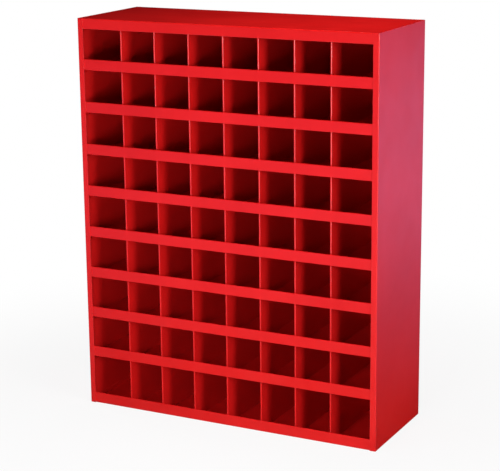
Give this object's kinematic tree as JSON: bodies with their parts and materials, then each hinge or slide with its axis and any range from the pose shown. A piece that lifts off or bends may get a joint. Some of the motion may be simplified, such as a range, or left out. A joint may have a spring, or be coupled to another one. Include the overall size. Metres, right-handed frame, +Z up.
{
  "type": "pigeonhole bin cabinet",
  "caption": "Free-standing open-fronted sheet-steel cabinet divided into a grid of lipped pigeonhole bins for small parts, painted glossy red.",
  "frame": {"origin": "on the floor, under the middle of the case", "axes": "+Z up along the height, +Y from the open front to the back, +X to the right as seen from the front"},
  "size_m": [0.857, 0.305, 1.067],
  "materials": {
    "red_enamel": "gloss baked enamel on cold-rolled steel sheet"
  },
  "bodies": {
    "root": {"left_side_panel": "red_enamel", "right_side_panel": "red_enamel", "top_panel": "red_enamel", "bottom_panel": "red_enamel", "back_panel": "red_enamel", "shelf_1": "red_enamel", "shelf_2": "red_enamel", "shelf_3": "red_enamel", "shelf_4": "red_enamel", "shelf_5": "red_enamel", "shelf_6": "red_enamel", "shelf_7": "red_enamel", "shelf_8": "red_enamel", "divider_row_1": "red_enamel", "divider_row_2": "red_enamel", "divider_row_3": "red_enamel", "divider_row_4": "red_enamel", "divider_row_5": "red_enamel", "divider_row_6": "red_enamel", "divider_row_7": "red_enamel", "divider_row_8": "red_enamel", "divider_row_9": "red_enamel"}
  },
  "joints": []
}
